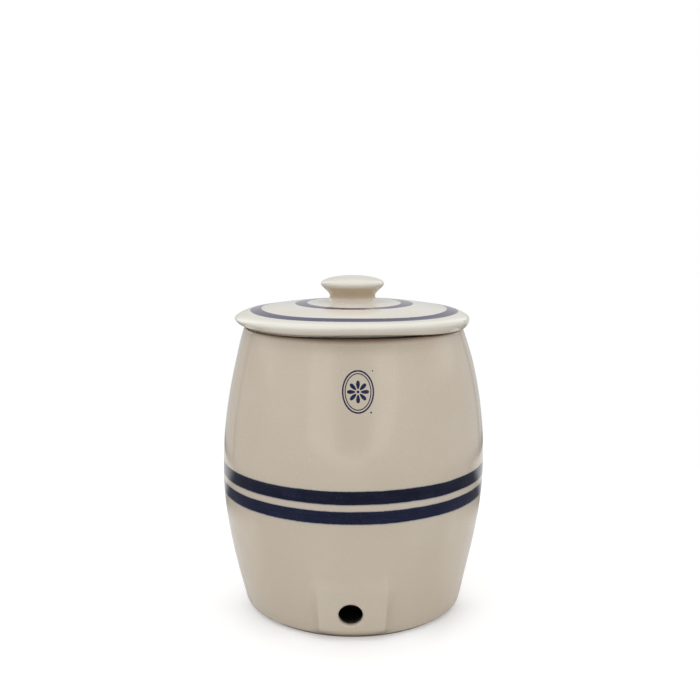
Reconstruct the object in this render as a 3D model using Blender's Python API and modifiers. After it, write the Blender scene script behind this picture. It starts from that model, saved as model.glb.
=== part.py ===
"""A stoneware beverage crock with a lift-off lid, at its real size in metres, +Z up.

The origin is the middle of the foot, on the surface that the crock stands on.
The crock and the lid are turned shapes. The flat pad for a tap is joined to the
crock's wall, and the tap hole goes through both.
"""

import math

import bmesh
import bpy
from mathutils import Matrix, Vector

# Crock: the outer line of its wall
crock_height = 0.256
base_radius = 0.0988
belly_radius = 0.119
belly_height = 0.127
rim_radius = 0.098
base_lean = math.radians(11.2)
shoulder_lean = math.radians(18.3)

# Crock: what the wall, the floor and the foot are made of
wall_thickness = 0.008
floor_thickness = 0.010
floor_corner_radius = 0.016
rim_edge_radius = 0.0028
foot_radius = 0.0905
foot_ring_width = 0.010
foot_recess = 0.0025
foot_bevel = math.radians(35)
foot_corner_radius = 0.005
foot_edge_radius = 0.001

# Crock: the blue bands round the belly
lower_band_height = 0.109
lower_band_width = 0.0106
band_gap = 0.006
upper_band_width = 0.011

# Tap pad: a flat land that leans outwards nearly as the wall behind it does
pad_top_height = 0.050
pad_top_width = 0.059
pad_proud = 0.0012
pad_lean = math.radians(10.5)
pad_side_taper = math.radians(2.9)
pad_side_flare = math.radians(45)
pad_top_flare = math.radians(72)
pad_depth = 0.010

# Tap hole, square to the pad
hole_radius = 0.0104
hole_height = 0.0252
hole_offset = -0.0015
hole_outer_round = 0.001
hole_inner_round = 0.0035

# Lid: heights are measured from the face that sits on the rim
seat_gap = 0.0003
lid_radius = 0.1055
lid_edge_height = 0.0068
lid_edge_radius = 0.0068
lid_shoulder_radius = 0.090
lid_crown_height = 0.0221
lid_dome_radius = 0.520
lid_thickness = 0.0075
flange_clearance = 0.0021
flange_thickness = 0.007
flange_depth = 0.010
flange_edge_radius = 0.0022
flange_corner_radius = 0.005

# Lid: the blue rings on its dome
outer_ring_radius = 0.094
outer_ring_width = 0.0092
inner_ring_radius = 0.0546
inner_ring_width = 0.008

# Knob, measured from the crown of the dome
knob_radius = 0.0283
knob_edge_height = 0.0148
knob_crown_rise = 0.0068
knob_lip_radius = 0.0034
knob_underside = math.radians(45)
neck_radius = 0.0204
neck_height = 0.0041

# How finely round shapes are divided
turn_steps = 64
hole_steps = 32
wall_step = 0.022
arc_steps = 3
largest_edge_share = 0.35
cut_overrun = 0.006
merge_distance = 0.00002
cut_skin = 0.00005
rim_run = 0.0084
sharp_angle = math.radians(35)
seat_angle = math.radians(45)

# Finishes: colour, roughness and metallic value
cream_glaze = ((0.66, 0.61, 0.53, 1.0), 0.22, 0.0)
cobalt_glaze = ((0.016, 0.022, 0.055, 1.0), 0.25, 0.0)
bare_clay = ((0.36, 0.28, 0.21, 1.0), 0.80, 0.0)


def clear_scene():
    """Remove every object, so that the script can be run again in the same file."""
    for item in list(bpy.data.objects):
        bpy.data.objects.remove(item)


def make_collection(name):
    """Link a new collection to the scene."""
    collection = bpy.data.collections.new(name)
    bpy.context.scene.collection.children.link(collection)
    return collection


def make_material(name, finish):
    """Make a Principled material from a colour, a roughness and a metallic value."""
    colour, roughness, metallic = finish
    material = bpy.data.materials.new(name)
    material.use_nodes = True
    shader = material.node_tree.nodes["Principled BSDF"]
    shader.inputs["Base Color"].default_value = colour
    shader.inputs["Roughness"].default_value = roughness
    shader.inputs["Metallic"].default_value = metallic
    material.diffuse_color = colour
    return material


def blend(share, start, end, start_run, end_run):
    """Cubic curve from start to end. The runs are its slopes at the two ends, over the whole length."""
    rise = share * share * (3 - 2 * share)
    leave = share * (1 - share) ** 2
    arrive = share * share * (share - 1)
    return start + (end - start) * rise + start_run * leave + end_run * arrive


def arc(centre, radius, first_angle, last_angle, steps=arc_steps):
    """Points of an arc, both ends included. The angles are in degrees."""
    points = []
    for index in range(steps + 1):
        angle = math.radians(first_angle + (last_angle - first_angle) * index / steps)
        points.append((centre[0] + radius * math.cos(angle), centre[1] + radius * math.sin(angle)))
    return points


def rounded(before, corner, after, radius, steps=arc_steps):
    """Points of the arc that rounds a corner between two straight runs."""
    corner = Vector(corner)
    to_before = (Vector(before) - corner).normalized()
    to_after = (Vector(after) - corner).normalized()
    half_angle = to_before.angle(to_after) / 2
    centre = corner + (to_before + to_after).normalized() * radius / math.sin(half_angle)
    reach = radius / math.tan(half_angle)
    first = corner + to_before * reach - centre
    last = corner + to_after * reach - centre
    first_angle = math.degrees(math.atan2(first.y, first.x))
    turn = math.degrees(math.atan2(first.x * last.y - first.y * last.x, first.dot(last)))
    return arc(centre, radius, first_angle, first_angle + turn, steps)


def spaced(first, last, step=wall_step):
    """Even stops from first to last, both included, no further apart than step."""
    count = max(1, math.ceil(abs(last - first) / step))
    return [first + (last - first) * index / count for index in range(count + 1)]


def stops_through(values):
    """Even stops that also fall on each of the values, which run in order."""
    stops = []
    for first, last in zip(values, values[1:]):
        stops += spaced(first, last)[:-1]
    return stops + [values[-1]]


def turned(name, profile, steps, collection):
    """Turn a profile of (radius, height) points once round the Z axis."""
    mesh = bpy.data.meshes.new(name)
    mesh.from_pydata(
        [(radius, 0.0, height) for radius, height in profile],
        [(index, index + 1) for index in range(len(profile) - 1)],
        [],
    )
    item = bpy.data.objects.new(name, mesh)
    collection.objects.link(item)
    screw = item.modifiers.new("turn", "SCREW")
    screw.steps = steps
    screw.render_steps = steps
    screw.use_merge_vertices = True
    screw.merge_threshold = merge_distance
    return item


def combine(item, operation, other):
    """Join another closed shape to an object, cut it away, or keep only what they share."""
    boolean = item.modifiers.new(operation.lower(), "BOOLEAN")
    boolean.operation = operation
    boolean.object = other
    boolean.solver = "EXACT"


def hide_guide(item):
    """Mark a shape that only cuts or joins another."""
    item.hide_render = True
    item.display_type = "WIRE"


def keep_evaluated(item, collection):
    """Replace an object by a plain mesh of its evaluated shape, with the same name and place."""
    graph = bpy.context.evaluated_depsgraph_get()
    mesh = bpy.data.meshes.new_from_object(item.evaluated_get(graph))
    shape = bmesh.new()
    shape.from_mesh(mesh)
    bmesh.ops.remove_doubles(shape, verts=shape.verts, dist=merge_distance)
    bmesh.ops.dissolve_degenerate(shape, edges=shape.edges, dist=merge_distance)
    shape.to_mesh(mesh)
    shape.free()
    name = item.name
    place = item.matrix_world.copy()
    bpy.data.objects.remove(item)
    finished = bpy.data.objects.new(name, mesh)
    finished.matrix_world = place
    collection.objects.link(finished)
    return finished


def shade_round(item):
    """Shade the round surfaces smooth, and keep the real edges."""
    item.data.shade_smooth()
    item.data.set_sharp_from_angle(angle=sharp_angle)


def wall_radius(height):
    """Outer radius of the barrel wall: two curves that meet, upright, at the belly."""
    if height < belly_height:
        share = height / belly_height
        return blend(share, base_radius, belly_radius, belly_height * math.tan(base_lean), 0.0)
    span = crock_height - belly_height
    share = (height - belly_height) / span
    return blend(share, belly_radius, rim_radius, 0.0, -span * math.tan(shoulder_lean))


def inner_radius(height, depth=wall_thickness):
    """Radius of the wall's line moved inwards, square to the wall, by a depth."""
    small = crock_height / 1000
    slope = (wall_radius(height + small) - wall_radius(height - small)) / (2 * small)
    return wall_radius(height) - depth * math.hypot(1.0, slope)


def bevel_top_height():
    """Height at which the bevel under the wall meets the wall's own line."""
    low, high = 0.0, crock_height / 2
    while high - low > merge_distance:
        middle = (low + high) / 2
        if foot_radius + middle / math.tan(foot_bevel) < wall_radius(middle):
            low = middle
        else:
            high = middle
    return low


def band_edges():
    """Heights of the four edges of the two bands, from the lowest to the highest."""
    lower_top = lower_band_height + lower_band_width
    upper_bottom = lower_top + band_gap
    return [lower_band_height, lower_top, upper_bottom, upper_bottom + upper_band_width]


def inside_profile():
    """From the middle of the floor, round its corner and up the inner wall."""
    rise = floor_corner_radius * (1 - math.sin(base_lean))
    wall_start = floor_thickness + rise
    centre = (
        inner_radius(wall_start) - floor_corner_radius * math.cos(base_lean),
        floor_thickness + floor_corner_radius,
    )
    corner = arc(centre, floor_corner_radius, -90, -math.degrees(base_lean), arc_steps + 1)
    wall_end = crock_height - rim_run
    wall = [(inner_radius(height), height) for height in spaced(wall_start, wall_end)]
    return [(0.0, floor_thickness)] + corner[:-1] + wall


def rim_profile():
    """Over the rim, from its inner edge to its outer edge."""
    edge = min(rim_edge_radius, wall_thickness * largest_edge_share)
    inner_corner = (inner_radius(crock_height), crock_height)
    outer_corner = (rim_radius, crock_height)
    below = crock_height - rim_run
    inner = rounded((inner_radius(below), below), inner_corner, outer_corner, edge)
    outer = rounded(inner_corner, outer_corner, (wall_radius(below), below), edge)
    return inner + outer


def outside_profile():
    """Down the outer wall, round the bevel, over the foot ring and into the recess under the floor."""
    bevel_top = bevel_top_height()
    bevel_corner = (wall_radius(bevel_top), bevel_top)
    wall_start = bevel_top + foot_corner_radius
    wall_end = crock_height - rim_run
    heights = stops_through([wall_start] + band_edges() + [wall_end])
    wall = [(wall_radius(height), height) for height in reversed(heights)]
    foot_edge = (foot_radius, 0.0)
    ring_edge = (foot_radius - foot_ring_width, 0.0)
    recess_edge = (ring_edge[0] - foot_recess, foot_recess)
    bevel = rounded(wall[-1], bevel_corner, foot_edge, foot_corner_radius)
    foot = rounded(bevel_corner, foot_edge, ring_edge, foot_edge_radius)
    return wall + bevel + foot + [ring_edge, recess_edge, (0.0, foot_recess)]


def pad_frame():
    """Place of the pad: the hole's middle on the pad's face, with -Y square to the face."""
    reach = wall_radius(hole_height) + pad_proud
    return Matrix.Translation((0.0, -reach, hole_height)) @ Matrix.Rotation(pad_lean, 4, "X")


def make_pad(guides):
    """The pad's block, trimmed by the bevel of the foot and rooted in the middle of the wall."""
    top = (pad_top_height - hole_height) / math.cos(pad_lean)
    bottom = -(hole_height + cut_overrun) / math.cos(pad_lean)
    top_half = pad_top_width / 2
    bottom_half = top_half - (top - bottom) * math.tan(pad_side_taper)
    back_widening = pad_depth * math.tan(pad_side_flare)
    back_rise = pad_depth * math.tan(pad_top_flare)
    shape = bmesh.new()
    bmesh.ops.create_cube(shape, size=2.0)
    for vertex in shape.verts:
        at_back = vertex.co.y > 0
        at_top = vertex.co.z > 0
        half_width = top_half if at_top else bottom_half
        if at_back:
            half_width += back_widening
        vertex.co.x = math.copysign(half_width, vertex.co.x)
        vertex.co.y = pad_depth if at_back else 0.0
        vertex.co.z = (top + back_rise if at_back else top) if at_top else bottom
    mesh = bpy.data.meshes.new("pad_block")
    shape.to_mesh(mesh)
    shape.free()
    pad = bpy.data.objects.new("pad_block", mesh)
    pad.matrix_world = pad_frame()
    guides.objects.link(pad)
    combine(pad, "INTERSECT", make_bevel_cone(guides))
    combine(pad, "DIFFERENCE", make_wall_core(guides))
    hide_guide(pad)
    return pad


def make_bevel_cone(guides):
    """The cone that carries on the foot's bevel outwards, past the pad."""
    height = pad_top_height + pad_depth * math.tan(pad_top_flare) + cut_overrun
    shape = bmesh.new()
    bmesh.ops.create_cone(
        shape,
        cap_ends=True,
        segments=turn_steps,
        radius1=foot_radius,
        radius2=foot_radius + height / math.tan(foot_bevel),
        depth=height,
        matrix=Matrix.Translation((0.0, 0.0, height / 2 + cut_skin)),
    )
    mesh = bpy.data.meshes.new("bevel_cone")
    shape.to_mesh(mesh)
    shape.free()
    cone = bpy.data.objects.new("bevel_cone", mesh)
    guides.objects.link(cone)
    hide_guide(cone)
    return cone


def make_wall_core(guides):
    """A plug that fills the crock up to the middle of its wall."""
    depth = wall_thickness / 2
    top = pad_top_height + pad_depth * math.tan(pad_top_flare) + 2 * cut_overrun
    heights = spaced(top, -cut_overrun)
    line = [(inner_radius(height, depth), height) for height in heights]
    profile = [(0.0, top)] + line + [(0.0, -cut_overrun)]
    core = turned("wall_core", profile, turn_steps, guides)
    hide_guide(core)
    return core


def make_hole_cutter(guides):
    """The tap hole: a straight bore with rounded edges outside and inside."""
    length = wall_thickness + pad_proud
    outer_middle = (hole_radius + hole_outer_round, -hole_outer_round - cut_skin)
    outer = arc(outer_middle, hole_outer_round, 90, 180)
    inner_round = min(hole_inner_round, wall_thickness / 2)
    inner = arc((hole_radius + inner_round, inner_round - length), inner_round, 180, 270)
    profile = [(0.0, cut_overrun), (outer[0][0], cut_overrun)]
    profile += outer + inner
    profile += [(inner[-1][0], -length - cut_overrun), (0.0, -length - cut_overrun)]
    cutter = turned("tap_hole", profile, hole_steps, guides)
    to_outside = Matrix.Rotation(math.radians(90), 4, "X")
    shift = Matrix.Translation((hole_offset, 0.0, 0.0))
    cutter.matrix_world = pad_frame() @ shift @ to_outside
    hide_guide(cutter)
    return cutter


def paint(item, finishes, choose):
    """Give each face the finish that choose names from the face's radius and its height."""
    names = list(finishes)
    for name in names:
        item.data.materials.append(finishes[name])
    for face in item.data.polygons:
        radius = math.hypot(face.center.x, face.center.y)
        face.material_index = names.index(choose(radius, face.center.z, face.normal))


def crock_finish(radius, height, normal):
    """Bands are cobalt, the underside is bare clay, and the rest is glazed cream."""
    lower_bottom, lower_top, upper_bottom, upper_top = band_edges()
    outside = radius > inner_radius(height, wall_thickness / 2)
    if outside and (lower_bottom < height < lower_top or upper_bottom < height < upper_top):
        return "cobalt"
    if height < foot_recess + merge_distance and normal.z < 0:
        return "clay"
    return "cream"


def lid_finish(radius, height, normal):
    """The two rings on the dome are cobalt, the seat and the flange's foot are bare clay."""
    on_outer_ring = outer_ring_radius - outer_ring_width < radius < outer_ring_radius
    on_inner_ring = inner_ring_radius - inner_ring_width < radius < inner_ring_radius
    if normal.z > 0 and height > lid_edge_height and (on_outer_ring or on_inner_ring):
        return "cobalt"
    if height < merge_distance and normal.z < -math.cos(seat_angle):
        return "clay"
    return "cream"


def make_crock(parts, guides):
    """The vessel with its tap pad and its tap hole."""
    profile = inside_profile()[:-1] + rim_profile() + outside_profile()[1:]
    vessel = turned("crock", profile, turn_steps, guides)
    combine(vessel, "UNION", make_pad(guides))
    combine(vessel, "DIFFERENCE", make_hole_cutter(guides))
    crock = keep_evaluated(vessel, parts)
    finishes = {
        "cream": make_material("crock_cream_glaze", cream_glaze),
        "cobalt": make_material("crock_cobalt_band", cobalt_glaze),
        "clay": make_material("crock_bare_clay", bare_clay),
    }
    paint(crock, finishes, crock_finish)
    shade_round(crock)
    return crock


def dome_height(radius):
    """Height of the lid's dome above its seat: a shallow bowl shape, highest in the middle."""
    return lid_crown_height - radius * radius / (2 * lid_dome_radius)


def knob_profile():
    """From the middle of the knob's top, over its edge, down its neck and out into the dome."""
    edge_height = lid_crown_height + knob_edge_height
    crown = []
    for index in range(2 * arc_steps):
        angle = math.radians(90) * index / (2 * arc_steps)
        crown.append((knob_radius * math.sin(angle), edge_height + knob_crown_rise * math.cos(angle)))
    lip = arc((knob_radius - knob_lip_radius, edge_height), knob_lip_radius, 0, -math.degrees(knob_underside))
    waist_height = lid_crown_height + neck_height
    start = lip[-1]
    drop = start[1] - waist_height
    waist = []
    for index in range(1, 2 * arc_steps):
        share = index / (2 * arc_steps)
        radius = blend(share, start[0], neck_radius, -drop / math.tan(knob_underside), 0.0)
        waist.append((radius, start[1] - drop * share))
    root_radius = neck_radius + neck_height
    root_drop = waist_height - dome_height(root_radius)
    root = []
    for index in range(arc_steps + 1):
        angle = math.radians(90) * index / arc_steps
        root.append((root_radius - neck_height * math.cos(angle), waist_height - root_drop * math.sin(angle)))
    return crown + lip + waist + root


def dome_profile():
    """Down the dome, over the shoulder and round the rolled edge to the seat."""
    stops = stops_through([
        neck_radius + neck_height,
        inner_ring_radius - inner_ring_width,
        inner_ring_radius,
        outer_ring_radius - outer_ring_width,
        lid_shoulder_radius,
    ])
    dome = [(radius, dome_height(radius)) for radius in stops[1:]]
    reach = lid_radius - lid_shoulder_radius
    ring_share = min(1.0, max(0.0, (outer_ring_radius - lid_shoulder_radius) / reach))
    ring_angle = math.asin(ring_share)
    shoulder = []
    for angle in stops_through_angles(ring_angle):
        radius = lid_shoulder_radius + reach * math.sin(angle)
        lift = (dome_height(radius) - lid_edge_height) * math.cos(angle)
        shoulder.append((radius, lid_edge_height + lift))
    roll = min(lid_edge_radius, lid_edge_height)
    edge = arc((lid_radius - roll, roll), roll, 0, -90, 2 * arc_steps)
    return dome + shoulder + edge


def stops_through_angles(ring_angle):
    """Angles over the shoulder's quarter turn, with one stop on the outer ring's edge."""
    quarter = math.radians(90)
    first = spaced(0.0, ring_angle, quarter / arc_steps)[1:]
    second = spaced(ring_angle, quarter, quarter / (2 * arc_steps))[1:]
    return first + second


def underside_profile():
    """In along the seat, round the flange that drops into the mouth, and up into the hollow."""
    mouth_radius = inner_radius(crock_height)
    outer = mouth_radius - flange_clearance
    inner = outer - flange_thickness
    edge = min(flange_edge_radius, flange_thickness * largest_edge_share)
    seat_corner = (outer, 0.0)
    outer_corner = (outer, -flange_depth)
    inner_corner = (inner, -flange_depth)
    hollow_corner = (inner, dome_height(inner) - lid_thickness)
    hollow_next = (inner / 2, dome_height(inner / 2) - lid_thickness)
    flange = rounded(seat_corner, outer_corner, inner_corner, edge)
    flange += rounded(outer_corner, inner_corner, hollow_corner, edge)
    hollow = rounded(inner_corner, hollow_corner, hollow_next, flange_corner_radius)
    dome = spaced(inner - 2 * flange_corner_radius, 0.0)
    hollow += [(radius, dome_height(radius) - lid_thickness) for radius in dome]
    return [seat_corner] + flange + hollow


def make_lid(parts, guides):
    """The lid with its knob and its flange, standing off the rim by the seat gap."""
    profile = knob_profile() + dome_profile() + underside_profile()
    shape = turned("lid", profile, turn_steps, guides)
    shape.location.z = crock_height + seat_gap
    bpy.context.view_layer.update()
    lid = keep_evaluated(shape, parts)
    finishes = {
        "cream": make_material("lid_cream_glaze", cream_glaze),
        "cobalt": make_material("lid_cobalt_ring", cobalt_glaze),
        "clay": make_material("lid_bare_clay", bare_clay),
    }
    paint(lid, finishes, lid_finish)
    shade_round(lid)
    return lid


def main():
    clear_scene()
    parts = make_collection("beverage_crock")
    guides = make_collection("guides")
    make_crock(parts, guides)
    make_lid(parts, guides)


main()
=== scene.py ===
import math

import bmesh
import bpy
import numpy as np
from mathutils import Matrix, Vector
from mathutils.bvhtree import BVHTree


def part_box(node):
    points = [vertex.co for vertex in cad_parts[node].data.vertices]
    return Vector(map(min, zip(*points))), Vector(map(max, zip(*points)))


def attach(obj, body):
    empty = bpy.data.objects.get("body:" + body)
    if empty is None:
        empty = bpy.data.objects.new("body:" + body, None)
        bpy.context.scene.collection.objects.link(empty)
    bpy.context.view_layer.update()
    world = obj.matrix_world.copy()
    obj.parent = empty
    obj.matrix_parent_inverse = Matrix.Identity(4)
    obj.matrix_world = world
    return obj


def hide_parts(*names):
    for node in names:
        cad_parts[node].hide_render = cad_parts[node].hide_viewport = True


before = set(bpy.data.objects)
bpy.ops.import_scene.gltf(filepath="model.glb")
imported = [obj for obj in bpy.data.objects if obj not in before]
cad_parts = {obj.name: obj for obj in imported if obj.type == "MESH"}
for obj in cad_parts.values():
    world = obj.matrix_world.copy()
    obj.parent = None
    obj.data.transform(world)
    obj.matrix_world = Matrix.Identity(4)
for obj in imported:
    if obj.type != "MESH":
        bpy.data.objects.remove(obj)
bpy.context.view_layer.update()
crockLow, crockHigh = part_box("crock")
lidLow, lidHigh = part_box("lid")
rimTop = crockHigh.z
print("frame loaded: crock", crockLow.z, "to", rimTop, "and lid", lidLow.z, "to", lidHigh.z)


# profile helpers: points are (radius, height), in metres

def ease(share, start, end, startRun, endRun):
    rise = share * share * (3 - 2 * share)
    leave = share * (1 - share) ** 2
    arrive = share * share * (share - 1)
    return start + (end - start) * rise + startRun * leave + endRun * arrive


def arcPoints(centre, radius, firstAngle, lastAngle, count):
    angles = np.radians(np.linspace(firstAngle, lastAngle, count + 1))
    return [(centre[0] + radius * math.cos(a), centre[1] + radius * math.sin(a)) for a in angles]


def roundCorner(before, corner, after, radius, count):
    corner = Vector(corner)
    back = (Vector(before) - corner).normalized()
    ahead = (Vector(after) - corner).normalized()
    half = back.angle(ahead) / 2
    centre = corner + (back + ahead).normalized() * radius / math.sin(half)
    first = corner + back * radius / math.tan(half) - centre
    last = corner + ahead * radius / math.tan(half) - centre
    start = math.degrees(math.atan2(first.y, first.x))
    sweep = math.degrees(math.atan2(first.x * last.y - first.y * last.x, first.dot(last)))
    return arcPoints(centre, radius, start, start + sweep, count)


def evenStops(first, last, step):
    count = max(1, math.ceil(abs(last - first) / step))
    return [float(v) for v in np.linspace(first, last, count + 1)]


def smoothMax(a, b, width):
    near = np.maximum(width - np.abs(a - b), 0.0) / width
    return np.maximum(a, b) + near * near * width / 4


def smoothMin(a, b, width):
    return -smoothMax(-a, -b, width)


def smoothStep(value, low, high):
    share = np.clip((value - low) / (high - low), 0.0, 1.0)
    return share * share * (3 - 2 * share)


# node helpers, for Geometry Nodes and for shaders

class Sock:
    # wraps a socket, so that sums on it become Math nodes
    def __init__(self, nodes, socket):
        self.nodes = nodes
        self.socket = socket

    def maths(self, operation, *others):
        return self.nodes.add("ShaderNodeMath", {"operation": operation}, dict(enumerate((self, *others))))

    def __add__(self, other):
        return self.maths("ADD", other)

    def __sub__(self, other):
        return self.maths("SUBTRACT", other)

    def __rsub__(self, other):
        return self * -1.0 + other

    def __mul__(self, other):
        return self.maths("MULTIPLY", other)

    def __truediv__(self, other):
        return self.maths("DIVIDE", other)

    def __rtruediv__(self, other):
        return self.maths("POWER", -1.0) * other

    def __pow__(self, other):
        return self.maths("POWER", other)

    __radd__ = __add__
    __rmul__ = __mul__


class Nodes:
    # adds nodes to one tree: type, settings, then values or links for its sockets
    def __init__(self, tree):
        self.tree = tree

    def add(self, kind, settings=None, inputs=None, out=0):
        node = self.tree.nodes.new(kind)
        for key, value in (settings or {}).items():
            setattr(node, key, value)
        for key, value in (inputs or {}).items():
            if isinstance(value, Sock):
                self.tree.links.new(value.socket, node.inputs[key])
            elif value is not None:
                node.inputs[key].default_value = value
        return Sock(self, node.outputs[out]) if len(node.outputs) else None

    def sibling(self, sock, out):
        return Sock(self, sock.socket.node.outputs[out])

    def split(self, vector):
        x = self.add("ShaderNodeSeparateXYZ", inputs={0: vector})
        return x, self.sibling(x, 1), self.sibling(x, 2)

    def join(self, x=None, y=None, z=None):
        return self.add("ShaderNodeCombineXYZ", inputs={0: x, 1: y, 2: z})

    def vector(self, operation, a, b, out=0):
        return self.add("ShaderNodeVectorMath", {"operation": operation}, {0: a, 1: b}, out)

    def step(self, value, low, high):
        return self.add("ShaderNodeMapRange", {"interpolation_type": "SMOOTHSTEP"},
                        {"Value": value, "From Min": low, "From Max": high})

    def band(self, value, low, high, soft):
        return self.step(value, low - soft, low + soft) * (1 - self.step(value, high - soft, high + soft))

    def mixColour(self, factor, a, b):
        # 6, 7 and 2 are the colour sockets of a Mix node
        return self.add("ShaderNodeMix", {"data_type": "RGBA"}, {0: factor, 6: a, 7: b}, 2)

    def noise(self, vector, scale, detail=2.0, rough=0.5):
        return self.add("ShaderNodeTexNoise", {"noise_dimensions": "3D"},
                        {"Vector": vector, "Scale": scale, "Detail": detail, "Roughness": rough})


def srgb(red, green, blue):
    parts = []
    for value in (red, green, blue):
        share = value / 255
        parts.append(share / 12.92 if share <= 0.04045 else ((share + 0.055) / 1.055) ** 2.4)
    return (*parts, 1.0)


def newTree(name, inputs):
    tree = bpy.data.node_groups.new(name, "GeometryNodeTree")
    for label, kind in inputs:
        tree.interface.new_socket(label, in_out="INPUT", socket_type="NodeSocket" + kind)
    tree.interface.new_socket("Geometry", in_out="OUTPUT", socket_type="NodeSocketGeometry")
    n = Nodes(tree)
    start = n.add("NodeGroupInput")
    return n, {label: n.sibling(start, label) for label, _ in inputs}


def finishTree(n, shape, material):
    shape = n.add("GeometryNodeRealizeInstances", inputs={"Geometry": shape})
    shape = n.add("GeometryNodeSetMaterial", inputs={"Geometry": shape, "Material": material})
    n.add("NodeGroupOutput", inputs={"Geometry": shape})
    return n.tree


# the turning wheel: a Geometry Nodes tree that turns a profile once round the Z axis

wheel = {
    "waveScale": 14.0,           # how close the unevenness of the wall is
    "waveStart": (0.02, 0.06),   # it grows between these radii
    "merge": 0.00001,
}


def makeTurningTree():
    n, given = newTree("turnProfile", (
        ("Geometry", "Geometry"), ("Profile Points", "Int"), ("Steps", "Int"), ("Front Crowding", "Float"),
        ("Waviness", "Float"), ("Wave Seed", "Float"), ("Clay", "Material")))
    count = given["Profile Points"]
    grid = n.add("GeometryNodeMeshGrid", inputs={
        "Size X": 1.0, "Size Y": 1.0, "Vertices X": count, "Vertices Y": given["Steps"] + 1})
    along, around, _ = n.split(n.add("GeometryNodeInputPosition"))
    number = n.add("FunctionNodeFloatToInt", {"rounding_mode": "ROUND"}, {0: (along + 0.5) * (count - 1)})
    profile = n.add("GeometryNodeSampleIndex", {"data_type": "FLOAT_VECTOR", "domain": "POINT"}, {
        "Geometry": given["Geometry"], "Value": n.add("GeometryNodeInputPosition"), "Index": number})
    radius, _, height = n.split(profile)
    even = around * (2 * math.pi)                       # -pi to pi, and 0 is the front
    angle = even - given["Front Crowding"] * even.maths("SINE")
    sine, cosine = angle.maths("SINE"), angle.maths("COSINE")
    true = n.join(radius * sine, radius * cosine * -1.0, height)
    lookup = n.vector("ADD", true, n.join(given["Wave Seed"]))
    wave = (n.noise(lookup, wheel["waveScale"], 1.0) - 0.5) * given["Waviness"]
    wavy = radius + wave * n.step(radius, *wheel["waveStart"])
    turned = n.join(wavy * sine, wavy * cosine * -1.0, height)
    shape = n.add("GeometryNodeSetPosition", inputs={"Geometry": grid, "Position": turned})
    shape = n.add("GeometryNodeMergeByDistance", inputs={"Geometry": shape, "Distance": wheel["merge"]})
    return finishTree(n, shape, given["Clay"])


def setInputs(modifier, values):
    for item in modifier.node_group.interface.items_tree:
        if item.in_out == "INPUT" and item.name in values:
            modifier[item.identifier] = values[item.name]


def plainMesh(item, name):
    # the evaluated shape as a plain mesh with no modifiers
    graph = bpy.context.evaluated_depsgraph_get()
    mesh = bpy.data.meshes.new_from_object(item.evaluated_get(graph))
    bpy.data.objects.remove(item)
    finished = bpy.data.objects.new(name, mesh)
    bpy.context.scene.collection.objects.link(finished)
    return finished


def turn(name, profile, steps, crowding, waviness, seed, clay):
    mesh = bpy.data.meshes.new(name + "Profile")
    mesh.from_pydata([(r, 0.0, z) for r, z in profile], [(i, i + 1) for i in range(len(profile) - 1)], [])
    item = bpy.data.objects.new(name + "Profile", mesh)
    bpy.context.scene.collection.objects.link(item)
    modifier = item.modifiers.new("turn", "NODES")
    modifier.node_group = turningTree
    setInputs(modifier, {"Profile Points": len(profile), "Steps": steps, "Front Crowding": crowding,
                         "Waviness": waviness, "Wave Seed": seed, "Clay": clay})
    finished = plainMesh(item, name)
    outward(finished)
    return finished


def outward(item, smooth=True):
    shape = bmesh.new()
    shape.from_mesh(item.data)
    bmesh.ops.recalc_face_normals(shape, faces=shape.faces)
    if shape.calc_volume(signed=True) < 0:
        bmesh.ops.reverse_faces(shape, faces=shape.faces)
    for each in shape.faces:
        each.smooth = smooth
    shape.to_mesh(item.data)
    shape.free()


def readPoints(item):
    co = np.empty(len(item.data.vertices) * 3)
    item.data.vertices.foreach_get("co", co)
    return co.reshape(-1, 3)


def writePoints(item, co):
    item.data.vertices.foreach_set("co", co.ravel())
    item.data.update()


turningTree = makeTurningTree()


# clear gloss glaze, shared by the crock and the lid

glaze = {
    "roughness": 0.13,
    "smear": 0.06,         # how much the roughness drifts
    "ior": 1.5,
    "coat": 0.25,
    "coatRoughness": 0.06,
    "speckScale": 620.0,   # cells per metre of the fine specks
    "speckDepth": 0.22,
    "darkSpeck": srgb(150, 134, 112),
    "paleSpeck": srgb(236, 230, 216),
    "rippleScale": 210.0,
    "rippleHeight": 0.000018,
    "ironScale": 95.0,     # a few of these cells hold an iron dot
    "iron": srgb(96, 78, 60),
    "ironStrength": 0.75,
    "ironDip": 0.00008,
    "bareRoughness": 0.68,   # bare clay is rougher by this, and grainy
    "bareGrain": 0.00012,
}

cobalt = {
    "deep": srgb(5, 10, 32),
    "soft": srgb(28, 35, 66),
    "halo": srgb(112, 126, 146),
    "haloWidth": 0.0009,
    "hazeWidth": 0.0015,
    "streakScale": (34.0, 34.0, 700.0),
    "edgeWander": 0.0010,    # how far a brushed edge strays, slowly and finely
    "edgeRagged": 0.0006,
    "edgeSoft": 0.00045,
    "proud": 0.000015,
}


def glazeBase(n, position, colour, warm):
    # tone drift, fine specks and a few iron dots
    cloud = n.noise(position, 16.0, 3.0) - 0.5
    tone = n.mixColour(n.step(cloud, -0.25, 0.25), colour, warm)
    fine = n.noise(position, glaze["speckScale"], 2.0, 0.65)
    for amount, speck in ((fine, glaze["darkSpeck"]), (1 - fine, glaze["paleSpeck"])):
        tone = n.mixColour(n.step(amount, 0.60, 0.78) * glaze["speckDepth"], tone, speck)
    cells = n.add("ShaderNodeTexVoronoi", {"feature": "F1"},
                  {"Vector": position, "Scale": glaze["ironScale"], "Randomness": 1.0})
    pick = n.add("ShaderNodeSeparateColor", inputs={0: n.sibling(cells, "Color")})
    dot = (1 - n.step(cells, 0.012, 0.034)) * n.step(pick, 0.90, 0.905)
    return n.mixColour(dot * glaze["ironStrength"], tone, glaze["iron"]), dot


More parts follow.
